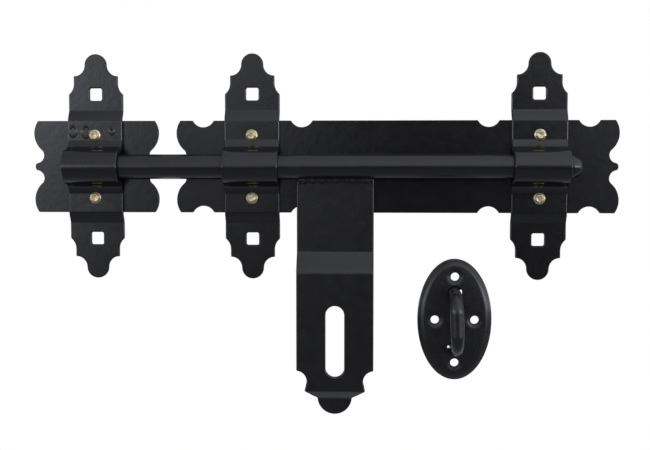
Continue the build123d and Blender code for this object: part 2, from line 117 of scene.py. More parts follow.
# The staple plate: its pressed sheet, its dishes and its holes.
PLATE_STEP = 0.35 * MM
PLATE_TURNS = 288
PLATE_SHEET = 2.0 * MM
PLATE_RIM = 1.2 * MM
PLATE_CROWN = 0.9 * MM
PLATE_SLOPE = 2.9 * MM
PLATE_SOFTNESS = 1.15
PLATE_SHARP_ANGLE = math.radians(35)
DISH_RADIUS = 6.0 * MM
DISH_SLOPE = 3.4 * MM
DISH_DEPTH = 0.5 * MM
SCREW_RADIUS = 2.75 * MM
SCREW_UP = 28.2 * MM
SCREW_ACROSS = 12.9 * MM
LEG_RADIUS = 4.7 * MM
LEG_UP = 18.0 * MM
HOLE_SIDES = 64
CUTTER_LENGTH = 40 * MM

# The rivets' heads: how high they stand, the room that the hammering needs in front of them, and
# their profile from the middle to the rim, as shares of their radius and height.
RIVET_DOME = 2.3 * MM
RIVET_ROOM = 0.1 * MM
RIVET_PROFILE = (
    (0.0, 0.9), (0.35, 0.95), (0.6, 0.97), (0.7, 0.84), (0.76, 0.45), (0.84, 0.4), (0.94, 0.28), (1.0, 0.0),
)
RIVET_SIDES = 56
RIVET_RINGS = 26
RIVET_ROUGHNESS = 0.34
DENT_SCALE = 520.0
TARNISH_SCALE = 520.0
TARNISH_TINT = (0.55, 0.42, 0.3)
TARNISH_HEIGHT = 0.06 * MM

# The studio's light, as levels by the side it comes from (-1 left, 1 right) and by the angle in
# degrees above the horizon in front of the bolt, on over the top to the back.
HORIZON_BY_SIDE = (
    (-1, 2.6), (-0.7, 3.8), (-0.45, 2.5), (-0.34, 1.95), (-0.21, 0.36), (-0.15, 0.74), (-0.1, 0.54),
    (-0.03, 0.05), (0.1, 0.02), (0.24, 0.42), (0.4, 1.1), (0.7, 6.0), (1, 5.5),
)
HORIZON_BY_RISE = (
    (-14, 0.1), (-8, 0.26), (-5, 0.46), (-1.5, 0.58), (1, 0.95), (3, 1.1), (6, 1.7), (14, 1.8),
)
TOP_BY_SIDE = ((-1, 0.8), (-0.3, 0.6), (-0.12, 1.0), (0.15, 1.15), (0.3, 1.2), (1, 1.5))
TOP_BY_RISE = ((0, 1.0), (40, 1.0), (60, 0.88), (90, 0.7), (120, 0.42), (150, 0.25), (180, 0.1))
FLOOR_BY_RISE = ((-180, 0.5), (-140, 0.75), (-110, 0.52), (-80, 0.28), (-50, 0.24), (-25, 0.2), (0, 0.04))
HORIZON_TO_TOP = (4.0, 14.0)
HORIZON_TO_FLOOR = (-6.0, -16.0)
LIGHT_COLOUR = (0.96, 0.98, 1.06, 1.0)
WHITE = (1.0, 1.0, 1.0, 1.0)

# The floor and the camera.
FLOOR_PALE = (0.85, 0.85, 0.85, 1.0)
FLOOR_REACH = 3.0
FLOOR_DROP = 0.25
SENSOR_WIDTH = 36.0
NEAREST = 0.01
FARTHEST = 50.0


# Nodes of a material, a geometry tree or the world


def add_node(tree, kind, place=(0, 0), **values):
    """Adds a node and sets its own properties."""
    node = tree.nodes.new(kind)
    node.location = place
    for key, value in values.items():
        setattr(node, key, value)
    return node


def math_node(tree, operation, place, first, second=None):
    """One math node, fed by sockets or numbers."""
    node = add_node(tree, "ShaderNodeMath", place, operation=operation)
    for socket, value in zip(node.inputs, (first, second)):
        if isinstance(value, (int, float)):
            socket.default_value = value
        elif value is not None:
            tree.links.new(value, socket)
    return node.outputs["Value"]


def map_range(tree, value, span, levels, place, course="LINEAR"):
    """Maps a value from one span to another, and keeps it between the levels."""
    node = add_node(tree, "ShaderNodeMapRange", place, interpolation_type=course)
    node.inputs["From Min"].default_value = span[0]
    node.inputs["From Max"].default_value = span[1]
    node.inputs["To Min"].default_value = levels[0]
    node.inputs["To Max"].default_value = levels[1]
    tree.links.new(value, node.inputs["Value"])
    return node.outputs["Result"]


def noise(tree, vector, scale, detail, roughness, place):
    """A noise texture on the piece's own coordinates."""
    node = add_node(tree, "ShaderNodeTexNoise", place)
    node.inputs["Scale"].default_value = scale
    node.inputs["Detail"].default_value = detail
    node.inputs["Roughness"].default_value = roughness
    tree.links.new(vector, node.inputs["Vector"])
    return node.outputs["Fac"]


def bump(tree, height, distance, strength, place, normal=None):
    """A bump of a real height in metres."""
    node = add_node(tree, "ShaderNodeBump", place)
    node.inputs["Distance"].default_value = distance
    node.inputs["Strength"].default_value = strength
    tree.links.new(height, node.inputs["Height"])
    if normal is not None:
        tree.links.new(normal, node.inputs["Normal"])
    return node.outputs["Normal"]


def two_tone(tree, value, low, first, high, second, place):
    """A colour that goes from the first to the second as the value goes from low to high."""
    ramp = add_node(tree, "ShaderNodeValToRGB", place)
    for element, at, colour in zip(ramp.color_ramp.elements, (low, high), (first, second)):
        element.position = at
        element.color = [*colour, 1.0]
    tree.links.new(value, ramp.inputs["Fac"])
    return ramp.outputs["Color"]


def level_ramp(tree, value, stops, place):
    """A level that follows a value through given stops, each a value and its level."""
    low = stops[0][0]
    high = stops[-1][0]
    top = max(level for _, level in stops)
    share = map_range(tree, value, (low, high), (0.0, 1.0), (place[0] - 200, place[1]))
    ramp = add_node(tree, "ShaderNodeValToRGB", place)
    tree.links.new(share, ramp.inputs["Fac"])
    elements = ramp.color_ramp.elements
    while len(elements) < len(stops):
        elements.new(0.5)
    for element, (at, level) in zip(elements, stops):
        element.position = (at - low) / (high - low)
        element.color = (level / top, level / top, level / top, 1.0)
    return math_node(tree, "MULTIPLY", (place[0] + 300, place[1]), ramp.outputs["Color"], top)


def blend(tree, share, first, second, place):
    """A value that goes from the first to the second as the share goes from 0 to 1."""
    mix = add_node(tree, "ShaderNodeMix", place, data_type="FLOAT")
    for socket, value in zip((mix.inputs[0], mix.inputs[2], mix.inputs[3]), (share, first, second)):
        tree.links.new(value, socket)
    return mix.outputs[0]


def start_tree(name, inputs):
    """A geometry tree with named inputs, the identifiers of its sockets and its input node."""
    tree = bpy.data.node_groups.new(name, "GeometryNodeTree")
    sockets = {}
    for label, kind in inputs:
        sockets[label] = tree.interface.new_socket(label, in_out="INPUT", socket_type=kind).identifier
    tree.interface.new_socket("Geometry", in_out="OUTPUT", socket_type="NodeSocketGeometry")
    given = add_node(tree, "NodeGroupInput", (-1800, 0))
    return tree, sockets, given


def end_tree(tree, geometry, material, place):
    """Smooth shading, the material and the output."""
    smooth = add_node(tree, "GeometryNodeSetShadeSmooth", place)
    tree.links.new(geometry, smooth.inputs["Geometry"])
    coloured = add_node(tree, "GeometryNodeSetMaterial", (place[0] + 200, place[1]))
    coloured.inputs["Material"].default_value = material
    tree.links.new(smooth.outputs["Geometry"], coloured.inputs["Geometry"])
    result = add_node(tree, "NodeGroupOutput", (place[0] + 400, place[1]))
    tree.links.new(coloured.outputs["Geometry"], result.inputs["Geometry"])


# Paint and metal


def new_material(name):
    """An empty material with a Principled shader wired to its output."""
    material = bpy.data.materials.new(name)
    material.use_nodes = True
    tree = material.node_tree
    tree.nodes.clear()
    output = add_node(tree, "ShaderNodeOutputMaterial", (900, 0))
    shader = add_node(tree, "ShaderNodeBsdfPrincipled", (600, 0))
    tree.links.new(shader.outputs["BSDF"], output.inputs["Surface"])
    return material, tree, shader


def press_marks(tree, vector, marks, place):
    """Height of small upright press marks, each a raised ring about a point of the front face."""
    left, top = place
    flat = add_node(tree, "ShaderNodeVectorMath", place, operation="MULTIPLY")
    flat.inputs[1].default_value = (1.0, 0.0, MARK_SQUEEZE)
    tree.links.new(vector, flat.inputs[0])
    height = None
    for step, (x, z, radius, width) in enumerate(marks):
        row = top - 200 * (step + 1)
        apart = add_node(tree, "ShaderNodeVectorMath", (left + 200, row), operation="DISTANCE")
        apart.inputs[1].default_value = (x, 0.0, z * MARK_SQUEEZE)
        tree.links.new(flat.outputs["Vector"], apart.inputs[0])
        from_ring = math_node(tree, "SUBTRACT", (left + 400, row), apart.outputs["Value"], radius)
        away = math_node(tree, "ABSOLUTE", (left + 600, row), from_ring)
        ridge = map_range(tree, away, (0.0, width), (1.0, 0.0), (left + 800, row), "SMOOTHSTEP")
        if height is None:
            height = ridge
        else:
            height = math_node(tree, "MAXIMUM", (left + 1000, row), height, ridge)
    return height


def black_paint(name, colour, roughness, peel, marks=()):
    """Black gloss paint with a slight orange peel and an uneven coat."""
    material, tree, shader = new_material(name)
    vector = add_node(tree, "ShaderNodeTexCoord", (-900, 0)).outputs["Object"]
    patches = noise(tree, vector, PATCH_SCALE, 3.0, 0.5, (-700, 200))
    grain = noise(tree, vector, GRAIN_SCALE, 2.0, 0.5, (-700, -100))
    waves = noise(tree, vector, WAVE_SCALE, 2.0, 0.5, (-700, -400))
    less = 1 - PATCH_SHARE
    more = 1 + PATCH_SHARE
    darker = [value * less for value in colour]
    lighter = [value * more for value in colour]
    tint = two_tone(tree, patches, 0.2, darker, 0.8, lighter, (-300, 300))
    rough = map_range(tree, patches, (0.15, 0.85), (roughness * less, roughness * more), (-300, 0))
    normal = bump(tree, grain, GRAIN_HEIGHT, peel, (0, -200))
    normal = bump(tree, waves, WAVE_HEIGHT, peel, (250, -300), normal)
    if marks:
        ridges = press_marks(tree, vector, marks, (-900, -900))
        normal = bump(tree, ridges, MARK_HEIGHT, 1.0, (400, -500), normal)
    tree.links.new(tint, shader.inputs["Base Color"])
    tree.links.new(rough, shader.inputs["Roughness"])
    tree.links.new(normal, shader.inputs["Normal"])
    return material


def rivet_metal(name, colour, roughness):
    """Yellow passivated steel, slightly tarnished."""
    material, tree, shader = new_material(name)
    vector = add_node(tree, "ShaderNodeTexCoord", (-900, 0)).outputs["Object"]
    tarnish = noise(tree, vector, TARNISH_SCALE, 3.0, 0.6, (-700, 200))
    tarnished = [value * dim for value, dim in zip(colour, TARNISH_TINT)]
    tint = two_tone(tree, tarnish, 0.4, tarnished, 0.66, colour, (-300, 300))
    rough = map_range(tree, tarnish, (0.3, 0.7), (roughness * 1.3, roughness * 0.8), (-300, 0))
    normal = bump(tree, tarnish, TARNISH_HEIGHT, 0.5, (0, -200))
    tree.links.new(tint, shader.inputs["Base Color"])
    tree.links.new(rough, shader.inputs["Roughness"])
    tree.links.new(normal, shader.inputs["Normal"])
    shader.inputs["Metallic"].default_value = 1.0
    return material


def paint(slot, piece="", marks=(), dullness=1.0, unevenness=1.0):
    """The paint of one material slot, made once, or once more for a piece that differs."""
    name = slot + piece + "_finish"
    known = bpy.data.materials.get(name)
    if known is not None:
        return known
    settings = bpy.context.scene.gate_bolt_paint
    roughness = settings.roughness * dullness
    return black_paint(name, settings.colour, roughness, settings.peel * unevenness, marks)


def floor_material(name):
    """White to the camera and in reflections, plain pale paint to everything else."""
    material, tree, shader = new_material(name)
    shader.inputs["Base Color"].default_value = FLOOR_PALE
    shader.inputs["Roughness"].default_value = 0.9
    light = add_node(tree, "ShaderNodeEmission", (600, 300))
    light.inputs["Color"].default_value = WHITE
    light.inputs["Strength"].default_value = 1.0
    path = add_node(tree, "ShaderNodeLightPath", (200, 500))
    rays = (path.outputs["Is Camera Ray"], path.outputs["Is Glossy Ray"])
    either = math_node(tree, "MAXIMUM", (400, 500), *rays)
    mix = add_node(tree, "ShaderNodeMixShader", (800, 200))
    tree.links.new(either, mix.inputs["Fac"])
    tree.links.new(shader.outputs["BSDF"], mix.inputs[1])
    tree.links.new(light.outputs["Emission"], mix.inputs[2])
    tree.links.new(mix.outputs["Shader"], tree.nodes["Material Output"].inputs["Surface"])
    return material


# Pieces


def new_object(name, mesh):
    """A new object at the world's origin."""
    piece = bpy.data.objects.new(name, mesh)
    bpy.context.scene.collection.objects.link(piece)
    return piece


def plain_mesh(piece):
    """Turns a piece's modifiers into plain mesh and removes them."""
    graph = bpy.context.evaluated_depsgraph_get()
    mesh = bpy.data.meshes.new_from_object(piece.evaluated_get(graph), depsgraph=graph)
    piece.modifiers.clear()
    piece.data = mesh
    mesh.name = piece.name


def run_tree(piece, tree, sockets, values):
    """Runs a geometry tree on a piece with its inputs set, and keeps the plain mesh."""
    modifier = piece.modifiers.new(tree.name, "NODES")
    modifier.node_group = tree
    for label, value in values.items():
        modifier[sockets[label]] = value
    plain_mesh(piece)


def finish_piece(piece, material, body, slot, *nodes):
    """Gives a piece its material and its body, and hides the CAD nodes it stands for. The slot is not used.
    """
    piece.data.materials.clear()
    piece.data.materials.append(material)
    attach(piece, body)
    if nodes:
        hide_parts(*nodes)


def clean_inside(mesh, node):
    """Draws back whatever stands outside the CAD node's box, and merges slivers."""
    low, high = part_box(node)
    shape = bmesh.new()
    shape.from_mesh(mesh)
    for vert in shape.verts:
        vert.co = [min(max(at, least), most) for at, least, most in zip(vert.co, low, high)]
    bmesh.ops.remove_doubles(shape, verts=shape.verts, dist=SLIVER)
    bmesh.ops.dissolve_degenerate(shape, edges=shape.edges, dist=SLIVER)
    shape.to_mesh(mesh)
    shape.free()
    mesh.shade_smooth()


def rivet_spots():
    """Where the rivets cover the sheet: x, z and the head's radius."""
    spots = []
    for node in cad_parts:
        if "rivet" in node:
            low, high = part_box(node)
            spots.append(((low.x + high.x) / 2, (low.z + high.z) / 2, (high.x - low.x) / 2))
    return spots


def rounded_copy(name, node, edge_radius, plain_spots=()):
    """A copy of a CAD node with its sharp edges rounded as shearing and paint round them."""
    mesh = bpy.data.meshes.new(name)
    shape = bmesh.new()
    shape.from_mesh(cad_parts[node].data)
    bmesh.ops.remove_doubles(shape, verts=shape.verts, dist=SLIVER)
    bmesh.ops.dissolve_limit(shape, angle_limit=FLAT_ANGLE, verts=shape.verts, edges=shape.edges)
    weights = shape.edges.layers.float.new("bevel_weight_edge")
    for edge in shape.edges:
        if not edge.is_manifold or edge.calc_face_angle() < SHARP_ANGLE:
            continue
        middle = (edge.verts[0].co + edge.verts[1].co) / 2
        if not any(math.hypot(middle.x - x, middle.z - z) < radius for x, z, radius in plain_spots):
            edge[weights] = 1.0
    shape.to_mesh(mesh)
    shape.free()
    mesh.shade_smooth()
    piece = new_object(name, mesh)
    rounding = piece.modifiers.new("edge", "BEVEL")
    rounding.width = edge_radius
    rounding.segments = EDGE_SEGMENTS
    rounding.limit_method = "WEIGHT"
    rounding.use_clamp_overlap = False
    rounding.loop_slide = False
    plain_mesh(piece)
    clean_inside(piece.data, node)
    shading = piece.modifiers.new("face weights", "WEIGHTED_NORMAL")
    shading.weight = 80
    plain_mesh(piece)
    return piece


def soft_step(value):
    """Goes smoothly from 0 to 1 as the value does."""
    share = min(max(value, 0.0), 1.0)
    return share * share * (3 - 2 * share)


def soft_slope(value, softness):
    """A straight slope from 0 to 1 with both its ends rounded."""
    steps = 8
    shifts = [softness * ((step + 0.5) / steps - 0.5) for step in range(steps)]
    return sum(min(max(value + shift, 0.0), 1.0) for shift in shifts) / steps


def plate_rise(inset, half_width, rise):
    """How far the staple plate's face stands out at a distance inside its edge."""
    slope = soft_slope(inset / PLATE_SLOPE, PLATE_SOFTNESS)
    crown = 1 - (1 - inset / half_width) ** 2
    return PLATE_RIM + (rise - PLATE_CROWN - PLATE_RIM) * slope + PLATE_CROWN * crown


def pressed_plate(name, node, dishes):
    """The staple plate's face, pressed to a dome with a soft edge and dished at its screw holes."""
    low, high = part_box(node)
    middle = (low + high) / 2
    half_width = (high.x - low.x) / 2
    half_height = (high.z - low.z) / 2
    insets = [step * PLATE_STEP for step in range(int(half_width / PLATE_STEP))]
    rings = [(0.0, 0.0)]
    rings += [(inset, plate_rise(inset, half_width, high.y - low.y)) for inset in insets]
    verts = []
    for inset, out in rings:
        for turn in range(PLATE_TURNS):
            angle = 2 * math.pi * turn / PLATE_TURNS
            x = (half_width - inset) * math.cos(angle)
            z = (half_height - inset) * math.sin(angle)
            inside = [DISH_RADIUS - math.hypot(x - at_x, z - at_z) for at_x, at_z in dishes]
            dip = sum(soft_step(distance / DISH_SLOPE) for distance in inside)
            verts.append((middle.x + x, high.y - out + DISH_DEPTH * dip, middle.z + z))
    faces = []
    for ring in range(len(rings) - 1):
        for turn in range(PLATE_TURNS):
            first = ring * PLATE_TURNS + turn
            second = ring * PLATE_TURNS + (turn + 1) % PLATE_TURNS
            faces.append((first, second, second + PLATE_TURNS, first + PLATE_TURNS))
    faces.append([(len(rings) - 1) * PLATE_TURNS + turn for turn in range(PLATE_TURNS)])
    mesh = bpy.data.meshes.new(name)
    mesh.from_pydata(verts, [], faces)
    return new_object(name, mesh), middle


def hole_cutter(name, holes):
    """Round bars along Y, one for each hole: x, z, radius."""
    shape = bmesh.new()
    for x, z, radius in holes:
        turned = Matrix.Translation((x, 0, z)) @ Matrix.Rotation(math.radians(90), 4, "X")
        bmesh.ops.create_cone(
            shape,
            cap_ends=True,
            segments=HOLE_SIDES,
            radius1=radius,
            radius2=radius,
            depth=CUTTER_LENGTH,
            matrix=turned,
        )
    mesh = bpy.data.meshes.new(name)
    shape.to_mesh(mesh)
    shape.free()
    return new_object(name, mesh)


def give_thickness(piece, node, holes):
    """Turns the staple plate's face into a sheet with its holes cut through."""
    cutter = hole_cutter("staple_plate_holes", holes)
    sheet = piece.modifiers.new("sheet", "SOLIDIFY")
    sheet.thickness = PLATE_SHEET
    sheet.offset = -1.0
    cut = piece.modifiers.new("holes", "BOOLEAN")
    cut.operation = "DIFFERENCE"
    cut.solver = "EXACT"
    cut.object = cutter
    piece.modifiers.new("triangles", "TRIANGULATE")
    plain_mesh(piece)
    bpy.data.objects.remove(cutter)
    clean_inside(piece.data, node)
    piece.data.set_sharp_from_angle(angle=PLATE_SHARP_ANGLE)


def weld_tree(material):
    """Geometry nodes that lay overlapping ripples of weld along a line."""
    tree, sockets, given = start_tree(
        "weld ripples",
        (
            ("Geometry", "NodeSocketGeometry"),
            ("Pitch", "NodeSocketFloat"),
            ("Width", "NodeSocketFloat"),
            ("Height", "NodeSocketFloat"),
            ("Wander", "NodeSocketFloat"),
            ("Lean", "NodeSocketFloat"),
            ("Seed", "NodeSocketInt"),
        ),
    )
    link = tree.links.new
    path = add_node(tree, "GeometryNodeMeshToCurve", (-1600, 0))
    link(given.outputs["Geometry"], path.inputs["Mesh"])
    spaced = add_node(tree, "GeometryNodeCurveToPoints", (-1400, 0), mode="LENGTH")
    link(path.outputs["Curve"], spaced.inputs["Curve"])
    link(given.outputs["Pitch"], spaced.inputs["Length"])
    stray = add_node(tree, "FunctionNodeRandomValue", (-1400, -300), data_type="FLOAT_VECTOR")
    link(given.outputs["Seed"], stray.inputs["Seed"])
    stray.inputs["Min"].default_value = (-1.0, -0.3, -1.0)
    stray.inputs["Max"].default_value = (1.0, 0.3, 1.0)
    strayed = add_node(tree, "ShaderNodeVectorMath", (-1200, -300), operation="SCALE")
    link(stray.outputs["Value"], strayed.inputs[0])
    link(given.outputs["Wander"], strayed.inputs["Scale"])
    moved = add_node(tree, "GeometryNodeSetPosition", (-1000, 0))
    link(spaced.outputs["Points"], moved.inputs["Geometry"])
    link(strayed.outputs["Vector"], moved.inputs["Offset"])
    drop = add_node(tree, "GeometryNodeMeshIcoSphere", (-1200, -600))
    drop.inputs["Radius"].default_value = 1.0
    drop.inputs["Subdivisions"].default_value = 3
    size = add_node(tree, "ShaderNodeCombineXYZ", (-1000, -600))
    link(given.outputs["Pitch"], size.inputs["X"])
    link(given.outputs["Height"], size.inputs["Y"])
    link(given.outputs["Width"], size.inputs["Z"])
    turn = add_node(tree, "ShaderNodeCombineXYZ", (-1000, -800))
    link(given.outputs["Lean"], turn.inputs["X"])
    grow = add_node(tree, "FunctionNodeRandomValue", (-1000, -1000), data_type="FLOAT")
    link(given.outputs["Seed"], grow.inputs["Seed"])
    grow.inputs["Min"].default_value = 0.85
    grow.inputs["Max"].default_value = 1.2
    shaped = add_node(tree, "GeometryNodeTransform", (-800, -600))
    link(drop.outputs["Mesh"], shaped.inputs["Geometry"])
    link(size.outputs["Vector"], shaped.inputs["Scale"])
    spread = add_node(tree, "GeometryNodeInstanceOnPoints", (-600, 0))
    link(moved.outputs["Geometry"], spread.inputs["Points"])
    link(shaped.outputs["Geometry"], spread.inputs["Instance"])
    link(turn.outputs["Vector"], spread.inputs["Rotation"])
    link(grow.outputs["Value"], spread.inputs["Scale"])
    real = add_node(tree, "GeometryNodeRealizeInstances", (-400, 0))
    link(spread.outputs["Instances"], real.inputs["Geometry"])
    end_tree(tree, real.outputs["Geometry"], material, (-200, 0))
    return tree, sockets


def rivet_head(tree, given):
    """A stepped head about the origin, as high along Z as the profile says."""
    link = tree.links.new
    disc = add_node(tree, "GeometryNodeMeshCone", (-1500, -300), fill_type="TRIANGLE_FAN")
    disc.inputs["Vertices"].default_value = RIVET_SIDES
    disc.inputs["Side Segments"].default_value = RIVET_RINGS
    disc.inputs["Fill Segments"].default_value = 1
    disc.inputs["Radius Top"].default_value = 0.0
    disc.inputs["Radius Bottom"].default_value = 1.0
    disc.inputs["Depth"].default_value = 1.0
    position = add_node(tree, "GeometryNodeInputPosition", (-1500, -600)).outputs["Position"]
    parts = add_node(tree, "ShaderNodeSeparateXYZ", (-1300, -600))
    link(position, parts.inputs["Vector"])
    flat = [parts.outputs["X"], parts.outputs["Y"]]
    squares = [math_node(tree, "MULTIPLY", (-1100, -600), along, along) for along in flat]
    across = math_node(tree, "SQRT", (-900, -600), math_node(tree, "ADD", (-1000, -600), *squares))
    profile = add_node(tree, "ShaderNodeFloatCurve", (-800, -600))
    link(across, profile.inputs["Value"])
    curve = profile.mapping.curves[0]
    while len(curve.points) < len(RIVET_PROFILE):
        curve.points.new(0.5, 0.5)
    for point, place in zip(curve.points, RIVET_PROFILE):
        point.location = place
    profile.mapping.update()
    height = math_node(tree, "MULTIPLY", (-500, -700), profile.outputs["Value"], given.outputs["Head Height"])
    wide = [math_node(tree, "MULTIPLY", (-500, -500), along, given.outputs["Head Radius"]) for along in flat]
    joined = add_node(tree, "ShaderNodeCombineXYZ", (-300, -600))
    link(wide[0], joined.inputs["X"])
    link(wide[1], joined.inputs["Y"])
    link(height, joined.inputs["Z"])
    shaped = add_node(tree, "GeometryNodeSetPosition", (-100, -300))
    link(disc.outputs["Mesh"], shaped.inputs["Geometry"])
    link(joined.outputs["Vector"], shaped.inputs["Position"])
    return shaped.outputs["Geometry"]


def rivet_tree(material):
    """Geometry nodes that set a stepped, hammered head on every point."""
    tree, sockets, given = start_tree(
        "hammered rivet heads",
        (
            ("Geometry", "NodeSocketGeometry"),
            ("Head Radius", "NodeSocketFloat"),
            ("Head Height", "NodeSocketFloat"),
            ("Hammering", "NodeSocketFloat"),
            ("Seed", "NodeSocketInt"),
        ),
    )
    link = tree.links.new
    spread = add_node(tree, "GeometryNodeInstanceOnPoints", (200, 0))
    spread.inputs["Rotation"].default_value = (math.radians(90), 0, 0)
    link(given.outputs["Geometry"], spread.inputs["Points"])
    link(rivet_head(tree, given), spread.inputs["Instance"])
    real = add_node(tree, "GeometryNodeRealizeInstances", (400, 0))
    link(spread.outputs["Instances"], real.inputs["Geometry"])
    position = add_node(tree, "GeometryNodeInputPosition", (0, -700)).outputs["Position"]
    dents = add_node(tree, "ShaderNodeTexNoise", (200, -700), noise_dimensions="4D")
    dents.inputs["Scale"].default_value = DENT_SCALE
    dents.inputs["Detail"].default_value = 1.5
    link(position, dents.inputs["Vector"])
    link(given.outputs["Seed"], dents.inputs["W"])
    centred = math_node(tree, "SUBTRACT", (400, -700), dents.outputs["Fac"], 0.5)
    push = math_node(tree, "MULTIPLY", (500, -700), centred, given.outputs["Hammering"])
    normal = add_node(tree, "GeometryNodeInputNormal", (400, -900))
    shift = add_node(tree, "ShaderNodeVectorMath", (600, -700), operation="SCALE")
    link(normal.outputs["Normal"], shift.inputs[0])
    link(push, shift.inputs["Scale"])
    hammered = add_node(tree, "GeometryNodeSetPosition", (800, 0))
    link(real.outputs["Geometry"], hammered.inputs["Geometry"])
    link(shift.outputs["Vector"], hammered.inputs["Offset"])
    end_tree(tree, hammered.outputs["Geometry"], material, (1000, 0))
    return tree, sockets


# Settings


class GateBoltPaint(bpy.types.PropertyGroup):
    """Paint of the sheet pieces and the bars."""

    colour: bpy.props.FloatVectorProperty(
        name="Paint colour",
        description="Colour of the black gloss paint",
        subtype="COLOR",
        size=3,
        min=0.0,
        max=1.0,
        default=(0.0068, 0.0068, 0.0073),
    )
    roughness: bpy.props.FloatProperty(
        name="Paint roughness",
        description="How dull the paint is",
        min=0.0,
        max=1.0,
        default=0.17,
    )
    peel: bpy.props.FloatProperty(
        name="Orange peel",
        description="Strength of the paint's fine unevenness",
        min=0.0,
        max=1.0,
        default=0.5,
    )
    edge_radius: bpy.props.FloatProperty(
        name="Edge radius",
        description="Radius that the paint gives to sheared edges",
        unit="LENGTH",
        min=0.0,
        max=0.002,
        default=0.8 * MM,
    )


class GateBoltRivets(bpy.types.PropertyGroup):
    """Heads of the six rivets."""

    colour: bpy.props.FloatVectorProperty(
        name="Rivet colour",
        description="Colour of the yellow rivets",
        subtype="COLOR",
        size=3,
        min=0.0,
        max=1.0,
        default=(0.83, 0.81, 0.57),
    )
    hammering: bpy.props.FloatProperty(
        name="Hammering",
        description="Depth of the uneven facets on the heads",
        unit="LENGTH",
        min=0.0,
        max=0.001,
        default=0.35 * MM,
    )
    seed: bpy.props.IntProperty(
        name="Seed",
        description="Chooses the pattern of the facets",
        default=3,
    )


class GateBoltStage(bpy.types.PropertyGroup):
    """Place, direction and lens of the camera."""

    camera_place: bpy.props.FloatVectorProperty(
        name="Camera place",
        description="Where the camera stands",
        subtype="XYZ",
        unit="LENGTH",
        size=3,
        default=(-14.85 * MM, -650 * MM, 1.6 * MM),
    )
    camera_turn: bpy.props.FloatProperty(
        name="Camera turn",
        description="How far the camera is turned to the left",
        subtype="ANGLE",
        default=math.radians(2.75),
    )
    camera_tilt: bpy.props.FloatProperty(
        name="Camera tilt",
        description="How far the camera looks down",
        subtype="ANGLE",
        default=math.radians(3.5),
    )
    lens: bpy.props.FloatProperty(
        name="Lens",
        description="Focal length in millimetres on a 36 mm sensor",
        min=10.0,
        default=55.02,
    )


# Operators


class GATEBOLT_OT_plates(bpy.types.Operator):
    """Dress the base plate and the keeper plate"""

    bl_idname = "gatebolt.plates"
    bl_label = "Plates"

    def execute(self, context):
        edge = PLATE_EDGE_SHARE * context.scene.gate_bolt_paint.edge_radius
        spots = rivet_spots()
        for node in ("base_plate", "keeper_plate"):
            piece = rounded_copy("painted_" + node, node, edge, spots)
            finish_piece(piece, paint("black_paint"), "mounting", "black_paint", node)
        return {"FINISHED"}


class GATEBOLT_OT_straps(bpy.types.Operator):
    """Dress the three humped straps"""

    bl_idname = "gatebolt.straps"
    bl_label = "Straps"

    def execute(self, context):
        edge = context.scene.gate_bolt_paint.edge_radius
        spots = rivet_spots()
        low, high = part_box("keeper_strap")
        middle = (low.x + high.x) / 2
        marks = [(middle + across, up, radius, width) for across, up, radius, width in PRESS_MARKS]
        coats = {
            "keeper_strap": paint("black_paint", "_pressed", marks),
            "guide_strap_left": paint("black_paint"),
            "guide_strap_right": paint("black_paint"),
        }
        for node, coat in coats.items():
            piece = rounded_copy("painted_" + node, node, edge, spots)
            finish_piece(piece, coat, "mounting", "black_paint", node)
        return {"FINISHED"}


class GATEBOLT_OT_rod(bpy.types.Operator):
    """Dress the round bolt rod"""

    bl_idname = "gatebolt.rod"
    bl_label = "Bolt rod"

    def execute(self, context):
        piece = rounded_copy("painted_bolt_rod", "bolt_rod", BAR_EDGE)
        coat = paint("black_rod_paint", dullness=ROD_DULLNESS)
        finish_piece(piece, coat, "rod", "black_rod_paint", "bolt_rod")
        return {"FINISHED"}


class GATEBOLT_OT_hasp(bpy.types.Operator):
    """Dress the hasp"""

    bl_idname = "gatebolt.hasp"
    bl_label = "Hasp"

    def execute(self, context):
        piece = rounded_copy("painted_hasp", "hasp", context.scene.gate_bolt_paint.edge_radius)
        coat = paint("black_paint", "_hasp", dullness=HASP_DULLNESS, unevenness=HASP_UNEVENNESS)
        finish_piece(piece, coat, "hasp", "black_paint", "hasp")
        return {"FINISHED"}


class GATEBOLT_OT_weld(bpy.types.Operator):
    """Dress the weld between the rod and the hasp"""

    bl_idname = "gatebolt.weld"
    bl_label = "Weld"

    def execute(self, context):
        coat = paint("black_weld_paint", dullness=WELD_DULLNESS, unevenness=WELD_UNEVENNESS)
        weld = rounded_copy("painted_hasp_weld", "hasp_weld", BAR_EDGE)
        finish_piece(weld, coat, "hasp", "black_weld_paint", "hasp_weld")
        low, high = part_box("hasp_weld")
        ends = [(x, low.y + WELD_BACK, low.z + WELD_UP) for x in (low.x + WELD_INSET, high.x - WELD_INSET)]
        mesh = bpy.data.meshes.new("weld_line")
        mesh.from_pydata(ends, [(0, 1)], [])
        ripples = new_object("hasp_weld_ripples", mesh)
        tree, sockets = weld_tree(coat)
        run_tree(ripples, tree, sockets, WELD_RIPPLES)
        finish_piece(ripples, coat, "hasp", "black_weld_paint")
        return {"FINISHED"}


